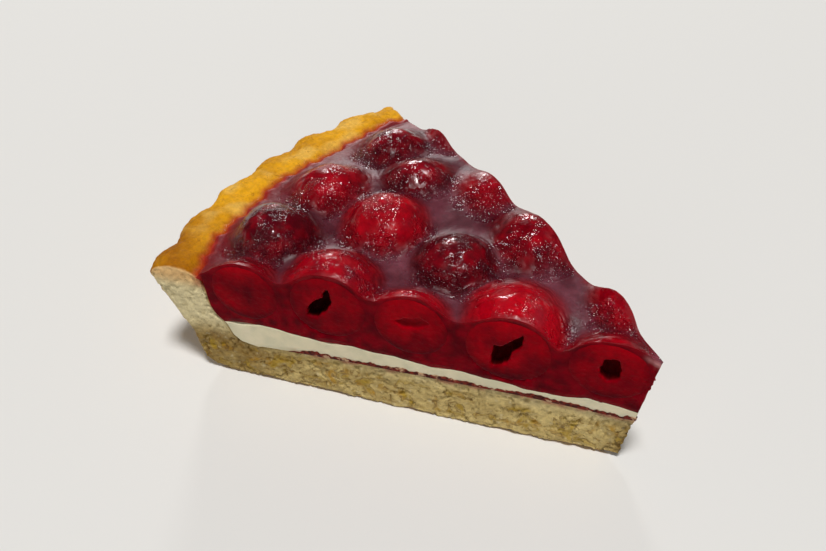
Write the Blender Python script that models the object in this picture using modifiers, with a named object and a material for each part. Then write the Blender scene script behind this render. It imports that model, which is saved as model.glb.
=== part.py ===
"""A slice of open cherry tart, made of the pieces that a pastry cook puts together.

A thick short crust with a fluted rim carries a thin spread of jam, a layer of cream and
a bed of set jelly that holds whole pitted cherries. Every layer is turned about the
centre of the round tart and is then cut by two knives, which meet at the slice's tip,
just short of that centre. The knives lean in a little towards the bottom. A cherry that
lies on a cut line is cut through with the rest and shows the hollow that its pit left.

Metres, +Z up. The slice stands on its crust at z = 0, with its tip towards +X, its rim
towards -X and the origin under the middle of its bounding box.
"""
import math
import random
from collections import namedtuple

import bmesh
import bpy
import numpy as np
from mathutils import Euler, Matrix, Vector

# The slice
TIP_X = 0.0611                      # the slice's tip, measured from the origin
TIP_SHORT = 0.0010                  # the tip falls this far short of the tart's centre
SLICE_ANGLE = math.radians(43.7)
KNIFE_LEAN = math.radians(3.5)      # each cut face leans in this much towards the bottom
KNIFE_TOP = 0.0394                  # height at which both cut faces meet over the tip
KNIFE_SIZE = 0.30
GAP = 0.0003                        # left between pieces that touch

# Crust, as (radius from the tart's centre, height): a base that is a little thicker
# under the tip, a wall that flares upwards and a rounded rim
BASE_TOP = ((0.0, 0.0155), (0.0310, 0.0157), (0.0560, 0.0148), (0.0820, 0.0140))
BASE_TO_WALL = ((0.0965, 0.0121), (0.1010, 0.0130), (0.1030, 0.0150), (0.1042, 0.0186),
                (0.1066, 0.0214), (0.1076, 0.0240))
RIM_CENTRE = (0.1150, 0.0305)
RIM_ROUND = (0.0068, 0.0043)        # half the rim's width, and the rise of its crown
WALL_OUTSIDE = ((0.1186, 0.0240), (0.1164, 0.0185), (0.1136, 0.0130))
FOOT_RADIUS = 0.1056                # where the flat underside ends
FOOT_ROUND = (0.0069, 0.0068)       # radial and vertical size of the rounded foot
FLUTES = 51                         # pressed into the outside, all round the tart
FLUTE_DEPTH = 0.0009
FLUTE_AT_FOOT = 0.4                 # share of that depth left at the foot of the wall
FLUTE_PHASE = math.radians(282.0)
STEPS_PER_FLUTE = 5

# Everything by the rim has sunk a little towards the far cut face
SINK_DEPTH = 0.0022
SINK_START = 0.0820                 # radius at which it starts

# Layers
JAM_THICKNESS = 0.0009
JAM_RADIUS = 0.0890
CREAM_TOP = ((0.0, 0.0178), (0.0170, 0.0186), (0.0310, 0.0179), (0.0470, 0.0188),
             (0.0630, 0.0194), (0.0930, 0.0196), (0.1045, 0.0193))
JELLY_LEVEL = 0.0358                # between the cherries
JELLY_LAP = 145.0                   # how far up the rim's round the jelly laps, degrees
JELLY_RINGS = 14
JELLY_RING_WIDTH = 0.0065
LAYER_STEPS = 90

# Places where the jelly stands above its level or is notched below it
Swell = namedtuple("Swell", "reach bearing spread height")
SWELLS = (
    Swell(0.0720, 21.8, 0.024, 0.0022),
    Swell(0.0540, 21.8, 0.006, 0.0022),
    Swell(0.0290, 21.8, 0.015, 0.0022),
    Swell(0.0215, -21.8, 0.006, -0.0045),
    Swell(0.0060, 0.0, 0.008, 0.0014),
)

# Cherries, placed by their reach from the slice's tip and their bearing from its middle
# line, which is positive towards the far cut face (+Y). An oval one is longer along its
# heading, by that ratio. Crown is the height of its top.
Cherry = namedtuple("Cherry", "reach bearing radius oval heading tall crown")
CHERRIES = (
    Cherry(0.0962, -11.9, 0.0101, 1.00, 0.0, 0.0208, 0.0428),
    Cherry(0.0955, 1.3, 0.0102, 1.00, 0.0, 0.0192, 0.0404),
    Cherry(0.0975, 15.2, 0.0085, 1.06, 60.0, 0.0178, 0.0393),
    Cherry(0.0920, 24.4, 0.0069, 1.21, -21.8, 0.0172, 0.0403),
    Cherry(0.0818, 12.4, 0.0073, 1.28, 36.0, 0.0178, 0.0414),
    Cherry(0.0754, -0.9, 0.0098, 1.00, 0.0, 0.0204, 0.0437),
    Cherry(0.0540, -2.3, 0.0095, 1.00, 0.0, 0.0202, 0.0430),
    Cherry(0.0665, 20.3, 0.0083, 1.12, -21.8, 0.0190, 0.0412),
    Cherry(0.0456, 18.8, 0.0100, 1.14, -21.8, 0.0218, 0.0430),
    Cherry(0.0184, 38.5, 0.0095, 1.00, 0.0, 0.0206, 0.0446),
    Cherry(0.0968, -23.6, 0.0095, 1.00, 0.0, 0.0204, 0.0410),
    Cherry(0.0763, -18.6, 0.0107, 1.00, 0.0, 0.0220, 0.0433),
    Cherry(0.0565, -23.9, 0.0096, 1.00, 0.0, 0.0206, 0.0416),
    Cherry(0.0343, -13.5, 0.0115, 1.00, 0.0, 0.0228, 0.0420),
    Cherry(0.0123, -45.0, 0.0114, 1.00, 0.0, 0.0222, 0.0414),
)
CHERRY_SEGMENTS = 16
CHERRY_RINGS = 9
STEM_DIMPLE = 0.16                  # depth of the dimple, as a share of the radius
DIMPLE_NARROWNESS = 6

# Pit hollows that a cut face shows: which face, which cherry, how far along the face
# and how high, half width, half height and how far the top leans towards the tip
Pit = namedtuple("Pit", "side cherry along height half_width half_height lean")
NEAR, FAR = -1, 1
PITS = (
    Pit(NEAR, 12, 0.0788, 0.0332, 0.0030, 0.0064, 22.0),
    Pit(NEAR, 13, 0.0555, 0.0312, 0.0031, 0.0041, 28.0),
    Pit(NEAR, 14, 0.0334, 0.0308, 0.0029, 0.0062, 24.0),
    Pit(NEAR, 15, 0.0103, 0.0306, 0.0023, 0.0047, 8.0),
    Pit(FAR, 8, 0.0628, 0.0310, 0.0027, 0.0048, -14.0),
    Pit(FAR, 9, 0.0437, 0.0318, 0.0030, 0.0056, 12.0),
)
PIT_DEPTH = 0.0042
PIT_TAPER = 0.45                    # how much narrower a hollow is at its top
PIT_SEGMENTS = 10
PIT_RINGS = 8

MERGE_DISTANCE = 0.00005

# Colour (linear), roughness
CRUST_LOOK = ((0.62, 0.40, 0.13), 0.75)
JAM_LOOK = ((0.10, 0.012, 0.006), 0.35)
CREAM_LOOK = ((0.72, 0.69, 0.50), 0.45)
JELLY_LOOK = ((0.24, 0.045, 0.055), 0.15)
CHERRY_LOOK = ((0.30, 0.006, 0.012), 0.22)


def clear_scene():
    for obj in list(bpy.data.objects):
        bpy.data.objects.remove(obj, do_unlink=True)


def new_collection(name):
    collection = bpy.data.collections.new(name)
    bpy.context.scene.collection.children.link(collection)
    return collection


def new_material(name, look):
    colour, roughness = look
    material = bpy.data.materials.new(name)
    material.use_nodes = True
    shader = material.node_tree.nodes["Principled BSDF"]
    shader.inputs["Base Color"].default_value = (*colour, 1.0)
    shader.inputs["Roughness"].default_value = roughness
    shader.inputs["Metallic"].default_value = 0.0
    return material


def new_object(name, mesh, collection, parent):
    obj = bpy.data.objects.new(name, mesh)
    obj.parent = parent
    collection.objects.link(obj)
    return obj


def new_empty(name, location, collection, parent):
    empty = new_object(name, None, collection, parent)
    empty.location = location
    return empty


def as_cutter(obj):
    obj.hide_render = True
    obj.display_type = "WIRE"
    return obj


def cut(obj, cutter):
    boolean = obj.modifiers.new("cut by " + cutter.name, "BOOLEAN")
    boolean.operation = "DIFFERENCE"
    boolean.solver = "EXACT"
    boolean.object = cutter


def arc(centre, radii, start, end, steps):
    """Points along an elliptical arc, from one angle to another, both in degrees."""
    points = []
    for step in range(steps + 1):
        angle = math.radians(start + (end - start) * step / steps)
        points.append((centre[0] + radii[0] * math.cos(angle),
                       centre[1] + radii[1] * math.sin(angle)))
    return points


def polar(reach, bearing):
    """Place on the plan, seen from the slice's tip; bearing 0 points to the rim."""
    return Vector((-reach * math.cos(bearing), reach * math.sin(bearing), 0.0))


def turned_mesh(name, outline, steps):
    """Turn an outline of (radius, height) points about the tart's centre."""
    profile = bpy.data.meshes.new(name)
    points = [(radius, 0.0, height) for radius, height in outline]
    profile.from_pydata(points, [(i, i + 1) for i in range(len(points) - 1)], [])
    holder = bpy.data.objects.new(name, profile)
    bpy.context.scene.collection.objects.link(holder)
    screw = holder.modifiers.new("turn", "SCREW")
    screw.axis = "Z"
    screw.angle = 2.0 * math.pi
    screw.steps = steps
    screw.render_steps = steps
    screw.use_merge_vertices = True
    screw.merge_threshold = MERGE_DISTANCE
    depsgraph = bpy.context.evaluated_depsgraph_get()
    mesh = bpy.data.meshes.new_from_object(holder.evaluated_get(depsgraph))
    mesh.name = name
    bpy.data.objects.remove(holder, do_unlink=True)
    bpy.data.meshes.remove(profile)
    return mesh


def height_at(surface, radius):
    """Height of a layer's surface, given as (radius, height) points, at one radius."""
    return float(np.interp(radius, *zip(*surface)))


def raised(surface, rise):
    return [(radius, height + rise) for radius, height in surface]


def inside_wall(gap):
    """The crust's inner face from the trough up to the rim, moved inwards by a gap."""
    points = [Vector(point) for point in BASE_TO_WALL]
    moved = []
    for number, point in enumerate(points):
        before = points[max(number - 1, 0)]
        after = points[min(number + 1, len(points) - 1)]
        along = (after - before).normalized()
        moved.append((point.x - along.y * gap, point.y + along.x * gap))
    return moved


def crust_outline():
    rim = arc(RIM_CENTRE, RIM_ROUND, 180.0, 0.0, 8)
    foot = arc((FOOT_RADIUS, FOOT_ROUND[1]), FOOT_ROUND, 0.0, -90.0, 3)
    top = list(BASE_TOP) + inside_wall(0.0) + rim
    return top + list(WALL_OUTSIDE) + foot + [(0.0, 0.0)]


def flute(mesh):
    """Press the flutes into the outside of the wall, deepest at the rim."""
    inner, outer = BASE_TO_WALL[-1][0], RIM_CENTRE[0]
    for vertex in mesh.vertices:
        radius = math.hypot(vertex.co.x, vertex.co.y)
        outside = min(max((radius - inner) / (outer - inner), 0.0), 1.0)
        bearing = math.atan2(vertex.co.y, -vertex.co.x)
        wave = math.cos(FLUTES * bearing + FLUTE_PHASE)
        upwards = vertex.co.z / RIM_CENTRE[1]
        depth = FLUTE_DEPTH * (FLUTE_AT_FOOT + (1.0 - FLUTE_AT_FOOT) * upwards)
        scale = 1.0 + depth * outside * wave / max(radius, inner)
        vertex.co.x *= scale
        vertex.co.y *= scale


def sink(mesh):
    """Lower what is high and near the rim, more and more towards the far cut face."""
    wall = BASE_TO_WALL[-1][0]
    foot, crown = BASE_TOP[0][1], RIM_CENTRE[1] + RIM_ROUND[1]
    for vertex in mesh.vertices:
        radius = math.hypot(vertex.co.x, vertex.co.y)
        bearing = math.atan2(vertex.co.y, -vertex.co.x)
        outwards = min(max((radius - SINK_START) / (wall - SINK_START), 0.0), 1.0)
        across = min(max(bearing / SLICE_ANGLE + 0.5, 0.0), 1.0)
        upwards = max((vertex.co.z - foot) / (crown - foot), 0.0)
        vertex.co.z -= SINK_DEPTH * outwards * across * upwards


def jam_outline():
    """A thin spread on the base."""
    edge = (JAM_RADIUS, height_at(BASE_TOP, JAM_RADIUS))
    under = raised(BASE_TOP[:-1] + (edge,), GAP)
    return raised(under, JAM_THICKNESS) + under[::-1]


def cream_outline():
    """The cream lies on the jam and fills the trough beside the wall."""
    under = raised(BASE_TOP, JAM_THICKNESS + 2.0 * GAP)
    step = (JAM_RADIUS + 2.0 * GAP, under[-1][1])
    beside = [point for point in inside_wall(GAP) if point[1] < CREAM_TOP[-1][1] - GAP]
    return list(CREAM_TOP) + beside[::-1] + [step] + under[:-1][::-1]


def jelly_outline():
    """The bed of jelly, from its level top over the lap on the rim down to the cream."""
    wall = inside_wall(GAP)
    rim = (RIM_ROUND[0] + GAP, RIM_ROUND[1] + GAP)
    lap = arc(RIM_CENTRE, rim, JELLY_LAP, 180.0, 3)
    inner = (JELLY_RINGS - 1) * JELLY_RING_WIDTH
    level = [(ring * JELLY_RING_WIDTH, JELLY_LEVEL) for ring in range(JELLY_RINGS - 1)]
    edge_radius, edge_height = lap[0]
    shore = arc((inner, edge_height), (edge_radius - inner, JELLY_LEVEL - edge_height),
                90.0, 0.0, 5)
    beside = [point for point in wall if point[1] > CREAM_TOP[-1][1] + 2.0 * GAP]
    return level + shore + lap[1:] + beside[::-1] + raised(CREAM_TOP, GAP)[::-1]


def swell_height(swell, place):
    """Rise of the jelly's top at one place because of one swell."""
    distance = (place - polar(swell.reach, math.radians(swell.bearing))).length
    return swell.height * math.exp(-(distance / swell.spread) ** 2)


def ripple(mesh):
    """Make the jelly's top uneven, less so on the slope that meets the rim."""
    edge = arc(RIM_CENTRE, RIM_ROUND, JELLY_LAP, JELLY_LAP, 1)[0][1] + GAP
    for vertex in mesh.vertices:
        share = (vertex.co.z - edge) / (JELLY_LEVEL - edge)
        if share > 0.0:
            place = Vector((vertex.co.x + TIP_SHORT, vertex.co.y, 0.0))
            rise = sum(swell_height(swell, place) for swell in SWELLS)
            vertex.co.z += share * rise


def layer(name, mesh, look, collection, parent, knives):
    """A piece of the tart, cut out of the round by both knives."""
    obj = new_object(name, mesh, collection, parent)
    mesh.materials.append(new_material(name, look))
    for knife in knives:
        cut(obj, knife)
    return obj


def knife_block(name, side, collection, parent):
    """A block that takes away all that lies beyond one cut face."""
    bm = bmesh.new()
    bmesh.ops.create_cube(bm, size=KNIFE_SIZE)
    bmesh.ops.translate(bm, verts=bm.verts, vec=(0.0, -side * KNIFE_SIZE / 2.0, 0.0))
    mesh = bpy.data.meshes.new(name)
    bm.to_mesh(mesh)
    bm.free()
    knife = as_cutter(new_object(name, mesh, collection, parent))
    knife.location = (0.0, 0.0, KNIFE_TOP)
    knife.rotation_euler = (side * KNIFE_LEAN, 0.0, math.pi - side * SLICE_ANGLE / 2.0)
    return knife


def cherry_centre(cherry):
    centre = polar(cherry.reach, math.radians(cherry.bearing))
    centre.z = cherry.crown - cherry.tall / 2.0
    return centre


def cherry_mesh(name, cherry, turn, grow):
    """A ball with a stem dimple, turned any way up and settled to its own height."""
    bm = bmesh.new()
    bmesh.ops.create_uvsphere(bm, u_segments=CHERRY_SEGMENTS, v_segments=CHERRY_RINGS,
                              radius=1.0)
    for vertex in bm.verts:
        near_stem = max(vertex.co.z, 0.0) ** DIMPLE_NARROWNESS
        vertex.co.z -= STEM_DIMPLE * near_stem
    size = Matrix.Diagonal((cherry.radius * cherry.oval + grow, cherry.radius + grow,
                            cherry.tall / 2.0 + grow, 1.0))
    heading = Matrix.Rotation(math.radians(cherry.heading), 4, "Z")
    place = Matrix.Translation(cherry_centre(cherry)) @ heading @ size
    bmesh.ops.transform(bm, matrix=place @ turn.to_matrix().to_4x4(), verts=bm.verts)
    mesh = bpy.data.meshes.new(name)
    bm.to_mesh(mesh)
    bm.free()
    mesh.shade_smooth()
    return mesh


def pit_cutter(name, pit, collection, parent):
    """A pointed hollow that opens on a cut face of the slice."""
    bm = bmesh.new()
    bmesh.ops.create_uvsphere(bm, u_segments=PIT_SEGMENTS, v_segments=PIT_RINGS,
                              radius=1.0)
    for vertex in bm.verts:
        vertex.co.x *= 1.0 - PIT_TAPER * max(vertex.co.z, 0.0)
    bmesh.ops.scale(bm, vec=(pit.half_width, PIT_DEPTH, pit.half_height), verts=bm.verts)
    mesh = bpy.data.meshes.new(name)
    bm.to_mesh(mesh)
    bm.free()
    cutter = as_cutter(new_object(name, mesh, collection, parent))
    inset = pit.side * (KNIFE_TOP - pit.height) * math.tan(KNIFE_LEAN)
    bearing = pit.side * SLICE_ANGLE / 2.0
    across = Vector((-math.sin(bearing), -math.cos(bearing), 0.0))
    cutter.location = polar(pit.along, bearing) + across * inset
    cutter.location.z = pit.height
    cutter.rotation_euler = (0.0, math.radians(-pit.lean), math.pi - bearing)
    return cutter


def build():
    clear_scene()
    pieces = new_collection("cherry_tart_slice")
    cutters = new_collection("cutters")
    tip = new_empty("slice_tip", (TIP_X, 0.0, 0.0), pieces, None)
    centre = new_empty("tart_centre", (TIP_SHORT, 0.0, 0.0), pieces, tip)

    knives = [knife_block("knife_near", NEAR, cutters, tip),
              knife_block("knife_far", FAR, cutters, tip)]

    crust = turned_mesh("crust", crust_outline(), FLUTES * STEPS_PER_FLUTE)
    flute(crust)
    sink(crust)
    layer("crust", crust, CRUST_LOOK, pieces, centre, knives)
    jam = turned_mesh("jam_layer", jam_outline(), LAYER_STEPS)
    layer("jam_layer", jam, JAM_LOOK, pieces, centre, knives)
    cream = turned_mesh("cream_layer", cream_outline(), LAYER_STEPS)
    sink(cream)
    layer("cream_layer", cream, CREAM_LOOK, pieces, centre, knives)
    bed = turned_mesh("jelly", jelly_outline(), LAYER_STEPS)
    ripple(bed)
    sink(bed)
    jelly = layer("jelly", bed, JELLY_LOOK, pieces, centre, knives)

    for number, cherry in enumerate(CHERRIES, start=1):
        chance = random.Random(number)
        turn = Euler([chance.uniform(-math.pi, math.pi) for _ in range(3)])
        name = "cherry_%02d" % number
        fruit = cherry_mesh(name, cherry, turn, 0.0)
        whole = layer(name, fruit, CHERRY_LOOK, pieces, tip, knives)
        bed_name = "bed_of_" + name
        hollow = cherry_mesh(bed_name, cherry, turn, GAP)
        cut(jelly, as_cutter(new_object(bed_name, hollow, cutters, tip)))
        for pit in PITS:
            if pit.cherry == number:
                cut(whole, pit_cutter("pit_of_" + name, pit, cutters, tip))


build()
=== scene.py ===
"""Looks of the cherry tart slice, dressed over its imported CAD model.

The crust, jam, cream, jelly and every cherry are remade here with fine surfaces at the
places and sizes that the frame gives. Metres, +Z up; the slice's tip points to +X.
"""
import itertools
import math
from collections import namedtuple

import bmesh
import bpy
import numpy as np
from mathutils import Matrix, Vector


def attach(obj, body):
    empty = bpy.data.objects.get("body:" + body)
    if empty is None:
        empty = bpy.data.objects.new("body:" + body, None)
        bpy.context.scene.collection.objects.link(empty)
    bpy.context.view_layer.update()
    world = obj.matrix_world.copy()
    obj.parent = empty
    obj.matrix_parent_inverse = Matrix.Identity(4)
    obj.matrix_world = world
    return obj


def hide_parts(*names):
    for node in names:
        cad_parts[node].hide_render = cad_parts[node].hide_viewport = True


MM = 0.001

# The slice, as the CAD model has it
TIP_X = 0.0611                      # where the cut faces meet, at KNIFE_TOP
TIP_SHORT = 0.0010                  # the tip falls this far short of the tart's centre
HALF_ANGLE = math.radians(21.85)
KNIFE_LEAN = math.radians(3.5)
KNIFE_TOP = 0.0394
NEAR, FAR = -1, 1
RIM_CENTRE = (0.1150, 0.0305)
RIM_ROUND = (0.0068, 0.0043)
FLUTES = 51                         # all round the tart
FLUTE_DEPTH = 0.0009
FLUTE_AT_FOOT = 0.4
FLUTE_PHASE = math.radians(282.0)
WALL_INSIDE = ((0.0121, 0.0965), (0.0130, 0.1010), (0.0150, 0.1030), (0.0186, 0.1042),
               (0.0214, 0.1066), (0.0240, 0.1076), (0.0305, 0.1082))
BASE_TOP = ((0.0, 0.0155), (0.0310, 0.0157), (0.0560, 0.0148), (0.0820, 0.0140),
            (0.0965, 0.0121), (0.1010, 0.0130))
JAM_RADIUS = 0.0890
CLOT_RADIUS = 0.0270                # where the jam is thickest
CREAM_TOP = ((0.0, 0.0178), (0.0170, 0.0186), (0.0310, 0.0179), (0.0470, 0.0188),
             (0.0630, 0.0194), (0.0930, 0.0196), (0.1045, 0.0193))
JELLY_LEVEL = 0.0358
SHORE_DROP = 0.0020                 # of the jelly's level towards the rim
SINK_DEPTH = 0.0022
SINK_START = 0.0820
SWELLS = ((0.0720, 21.8, 0.024, 0.0022), (0.0540, 21.8, 0.006, 0.0022),
          (0.0290, 21.8, 0.015, 0.0022), (0.0215, -21.8, 0.006, -0.0045),
          (0.0060, 0.0, 0.008, 0.0014))

# How far the glaze laps over the rim, by bearing in degrees
FILM_EDGE = ((-21.9, 0.1100), (-18.5, 0.1104), (-14.5, 0.1116), (-8.0, 0.1108),
             (-1.0, 0.1117), (8.0, 0.1106), (14.0, 0.1114), (18.0, 0.1124), (21.9, 0.1118))

# Cherries as the CAD model has them, with how bright each one looks
Cherry = namedtuple("Cherry", "reach bearing radius oval heading tall crown tone")
CHERRIES = (
    Cherry(0.0962, -11.9, 0.0101, 1.00, 0.0, 0.0208, 0.0428, 0.06),
    Cherry(0.0955, 1.3, 0.0102, 1.00, 0.0, 0.0192, 0.0404, 0.50),
    Cherry(0.0975, 15.2, 0.0085, 1.06, 60.0, 0.0178, 0.0393, 0.22),
    Cherry(0.0920, 24.4, 0.0069, 1.21, -21.8, 0.0172, 0.0403, 0.55),
    Cherry(0.0818, 12.4, 0.0073, 1.28, 36.0, 0.0178, 0.0414, 0.20),
    Cherry(0.0754, -0.9, 0.0098, 1.00, 0.0, 0.0204, 0.0437, 0.64),
    Cherry(0.0540, -2.3, 0.0095, 1.00, 0.0, 0.0202, 0.0430, 0.08),
    Cherry(0.0665, 20.3, 0.0083, 1.12, -21.8, 0.0190, 0.0412, 0.64),
    Cherry(0.0456, 18.8, 0.0100, 1.14, -21.8, 0.0218, 0.0430, 0.36),
    Cherry(0.0184, 38.5, 0.0095, 1.00, 0.0, 0.0206, 0.0446, 0.60),
    Cherry(0.0968, -23.6, 0.0095, 1.00, 0.0, 0.0204, 0.0410, 0.40),
    Cherry(0.0763, -18.6, 0.0107, 1.00, 0.0, 0.0220, 0.0433, 0.58),
    Cherry(0.0565, -23.9, 0.0096, 1.00, 0.0, 0.0206, 0.0416, 0.80),
    Cherry(0.0343, -13.5, 0.0115, 1.00, 0.0, 0.0228, 0.0420, 1.00),
    Cherry(0.0123, -45.0, 0.0114, 1.00, 0.0, 0.0222, 0.0414, 0.65),
)

# Hollows that the pits left on the cut faces: the cherry, the face, how deep, and the
# outline as places along the face from the tip and heights, in mm; then its painted shade
Pit = namedtuple("Pit", "cherry side depth dark outline")
PITS = (
    Pit(12, NEAR, 0.0040, 1.00, ((75.9, 39.6), (75.2, 34.3), (75.6, 31.8), (77.6, 29.3),
                           (79.2, 27.6), (81.8, 28.2), (80.4, 31.9), (77.2, 35.4))),
    Pit(13, NEAR, 0.0008, 0.35, ((61.0, 32.2), (58.0, 34.3), (53.6, 35.4), (52.0, 33.6),
                           (54.6, 31.2), (58.6, 30.8))),
    Pit(14, NEAR, 0.0038, 0.90, ((37.6, 31.2), (35.4, 31.3), (30.5, 37.6), (30.6, 33.2),
                           (32.9, 29.6), (33.9, 25.9), (37.0, 23.4), (37.8, 24.2))),
    Pit(15, NEAR, 0.0034, 0.75, ((12.8, 34.0), (11.0, 35.0), (9.4, 34.6), (8.9, 31.6),
                           (9.0, 28.4), (11.4, 27.2), (13.4, 28.6), (13.8, 31.0))),
    Pit(8, FAR, 0.0036, 0.80, ((65.2, 28.6), (65.6, 31.4), (63.6, 35.4), (61.8, 34.6),
                         (60.6, 30.4), (62.2, 27.2))),
    Pit(9, FAR, 0.0038, 0.85, ((46.4, 29.0), (45.6, 33.2), (42.6, 37.2), (41.4, 34.2),
                         (41.0, 29.4), (43.4, 26.6))),
)

# Camera
CAMERA_AZIMUTH = math.radians(38.18)
CAMERA_ELEVATION = math.radians(43.325)
CAMERA_DISTANCE = 0.3005
CAMERA_TARGET = (TIP_X - 0.0759879, 0.0101563, 0.0110769)
CAMERA_LENS = 50.1


# Fineness of the meshes
CRUST_VOXEL = 0.50 * MM
CUT_CHERRY_VOXEL = 0.30 * MM

# Glaze
SKIN = 0.25 * MM                    # over the cherries
SKIN_FOLD = 4.0 * MM                # reach of the hollow where a cherry meets the level
BEHIND_PIT = 5.0 * MM               # how far the jelly draws back behind a pit's cherry
RIM_FOLD = 2.6 * MM                 # and where the jelly meets the rim
FILM_THICKNESS = 0.30 * MM
FILM_SLOPE = 1.8 * MM               # over this far the film thins out to its edge
FILM_DIP = 0.35 * MM                # which sinks this far into the crust


FLOOR_COLOUR = (226, 224, 220)
WORLD_STRENGTH = 0.06
BACKDROP_STRENGTH = 0.85
FLOOR_RADIUS = 1.6
SLUMP_HEADING = math.radians(-52.0)
FLAT_ROUGHNESS = 0.48                # of the jelly where it has not wrinkled
LIGHTS = (
    ("overhead", (0.9, -1.1, 5.8), (0.0, 0.0, 0.03), (1.00, 1.00), 312.0),
    ("back", (-0.62, 0.62, 0.26), (0.0, 0.0, 0.03), (0.15, 0.08), 2.1),
    ("front", (0.35, -0.75, 0.35), (0.0, 0.0, 0.02), (0.7, 0.5), 0.95),
)


# ---------------------------------------------------------------- numbers and noise

CHANCE = np.random.default_rng(11)
SHUFFLE = CHANCE.permutation(256)
SLOPES = CHANCE.normal(size=(256, 3))
SLOPES /= np.linalg.norm(SLOPES, axis=1)[:, None]


def noise(points, size, seed=0.0):
    """Smooth noise of about -1 to 1, in lumps about one size across."""
    place = points / size + seed * 13.7
    cell = np.floor(place).astype(np.int64)
    part = place - cell
    fade = part ** 3 * (part * (part * 6.0 - 15.0) + 10.0)
    total = np.zeros(len(points))
    for corner in itertools.product((0, 1), repeat=3):
        at = (cell + corner) & 255
        pick = SHUFFLE[(SHUFFLE[(SHUFFLE[at[:, 0]] + at[:, 1]) & 255] + at[:, 2]) & 255]
        weight = np.prod(np.where(np.array(corner), fade, 1.0 - fade), axis=1)
        total += weight * np.einsum("ij,ij->i", SLOPES[pick], part - corner)
    return total * 1.6


def smooth(low, high, value):
    """0 below low and 1 above high, with an even turn between."""
    share = np.clip((value - low) / (high - low), 0.0, 1.0)
    return share * share * (3.0 - 2.0 * share)


def mix(first, second, share):
    share = np.asarray(share)[..., None]
    return np.asarray(first) * (1.0 - share) + np.asarray(second) * share


def colour(red, green, blue):
    """Linear colour from the display values 0 to 255."""
    shown = np.array((red, green, blue)) / 255.0
    return np.where(shown <= 0.04045, shown / 12.92, ((shown + 0.055) / 1.055) ** 2.4)


FRUIT_DARK = colour(80, 2, 14)
FRUIT_BRIGHT = colour(186, 4, 24)
# Painted shade for the low sides of the cherries
FRUIT_SHADE = colour(44, 2, 8)
JELLY_DARK = colour(70, 13, 26)
# Milky jelly colour with a painted sheen in it
JELLY_MILKY_SHEEN = colour(114, 56, 68)
JELLY_CUT = colour(122, 0, 16)
JELLY_CUT_DEEP = colour(88, 0, 12)
FILM_PINK = colour(110, 10, 22)
FILM_EDGE_COLOUR = colour(172, 44, 34)
FLESH_DARK = colour(80, 0, 12)
FLESH_BRIGHT = colour(184, 0, 18)
MEMBRANE = colour(168, 44, 54)
# Dried glaze at the tip and its flap, painted pale with a painted highlight
TIP_GLAZE_HIGHLIGHT = colour(146, 72, 86)
TIP_FLAP_HIGHLIGHT = colour(206, 150, 150)
# Painted shade inside the pits' hollows
PIT_SHADE = colour(44, 4, 3)
CRUST_GOLD = colour(232, 166, 22)
CRUST_ORANGE = colour(168, 102, 0)
CRUST_PALE = colour(240, 196, 100)
CRUST_WALL = colour(214, 178, 108)
CRUST_BROWN = colour(190, 132, 60)
CRUST_FLECK = colour(146, 84, 14)
CRUMB_PALE = colour(224, 200, 134)
CRUMB_DARK = colour(126, 94, 36)
# Rim crumb colour, with a painted highlight in it
CRUMB_RIM_HIGHLIGHT = colour(226, 176, 112)
PATCH_EDGE = colour(102, 68, 22)
CUSTARD = colour(168, 134, 30)
YOLK_ORANGE = colour(170, 124, 18)
WALL_CUT = colour(232, 218, 174)
JAM_STAIN = colour(186, 112, 92)
FLOUR = colour(226, 212, 172)


def along_table(table, value):
    return np.interp(value, *zip(*table))


# ---------------------------------------------------------------- places in the slice

def tart_radius(points):
    return np.hypot(points[:, 0] - TIP_X - TIP_SHORT, points[:, 1])


def bearing(points):
    return np.arctan2(points[:, 1], TIP_X + TIP_SHORT - points[:, 0])


def sunk(radius, turn, height):
    """How much lower everything by the rim lies towards the far face."""
    outwards = np.clip((radius - SINK_START) / (WALL_INSIDE[-2][1] - SINK_START), 0.0, 1.0)
    across = np.clip(turn / (2.0 * HALF_ANGLE) + 0.5, 0.0, 1.0)
    foot, crown = BASE_TOP[0][1], RIM_CENTRE[1] + RIM_ROUND[1]
    upwards = np.maximum((height - foot) / (crown - foot), 0.0)
    return SINK_DEPTH * outwards * across * upwards


def inside_face(points, side):
    """How far points lie inside one cut face."""
    inwards = np.array((-math.sin(HALF_ANGLE), -side * math.cos(HALF_ANGLE)))
    level = (points[:, :2] - (TIP_X, 0.0)) @ inwards
    leaned = (KNIFE_TOP - points[:, 2]) * math.sin(KNIFE_LEAN)
    return level * math.cos(KNIFE_LEAN) - leaned


def in_slice(out, across, height, outer, inset=0.0, blunt=0.0004, limit=1.0):
    """Points of the slice: out goes 0 to 1 from the tip to the outer radius, and across
    goes -1 to 1 from the near face to the far one; inset draws both faces in. No point
    lies further out than the limit."""
    lean = (KNIFE_TOP - height) * math.tan(KNIFE_LEAN)
    lean = np.maximum(lean, -0.0002) + inset + 0.0002
    start = lean / math.sin(HALF_ANGLE) + blunt
    reach = np.minimum(start + out * (outer - TIP_SHORT - start), limit - TIP_SHORT)
    turn = across * (HALF_ANGLE - np.arcsin(np.clip(lean / reach, -1.0, 1.0)))
    tip = TIP_X + 0.0002 / math.sin(HALF_ANGLE)
    return np.stack([tip - reach * np.cos(turn), reach * np.sin(turn), height], axis=1)


def jelly_level(points):
    """Height of the jelly between the cherries, at each place on the plan."""
    radius, turn = tart_radius(points), bearing(points)
    height = np.full(len(points), JELLY_LEVEL)
    for reach, heading, spread, rise in SWELLS:
        at = math.radians(heading)
        centre = (TIP_X - reach * math.cos(at), reach * math.sin(at))
        away = np.hypot(points[:, 0] - centre[0], points[:, 1] - centre[1])
        height += rise * np.exp(-(away / spread) ** 2)
    shore = np.clip((radius - 0.0845) / 0.0250, 0.0, 1.0)
    height -= SHORE_DROP * (1.0 - np.sqrt(np.maximum(1.0 - shore ** 2, 0.0)))
    return height - sunk(radius, turn, height)


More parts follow.
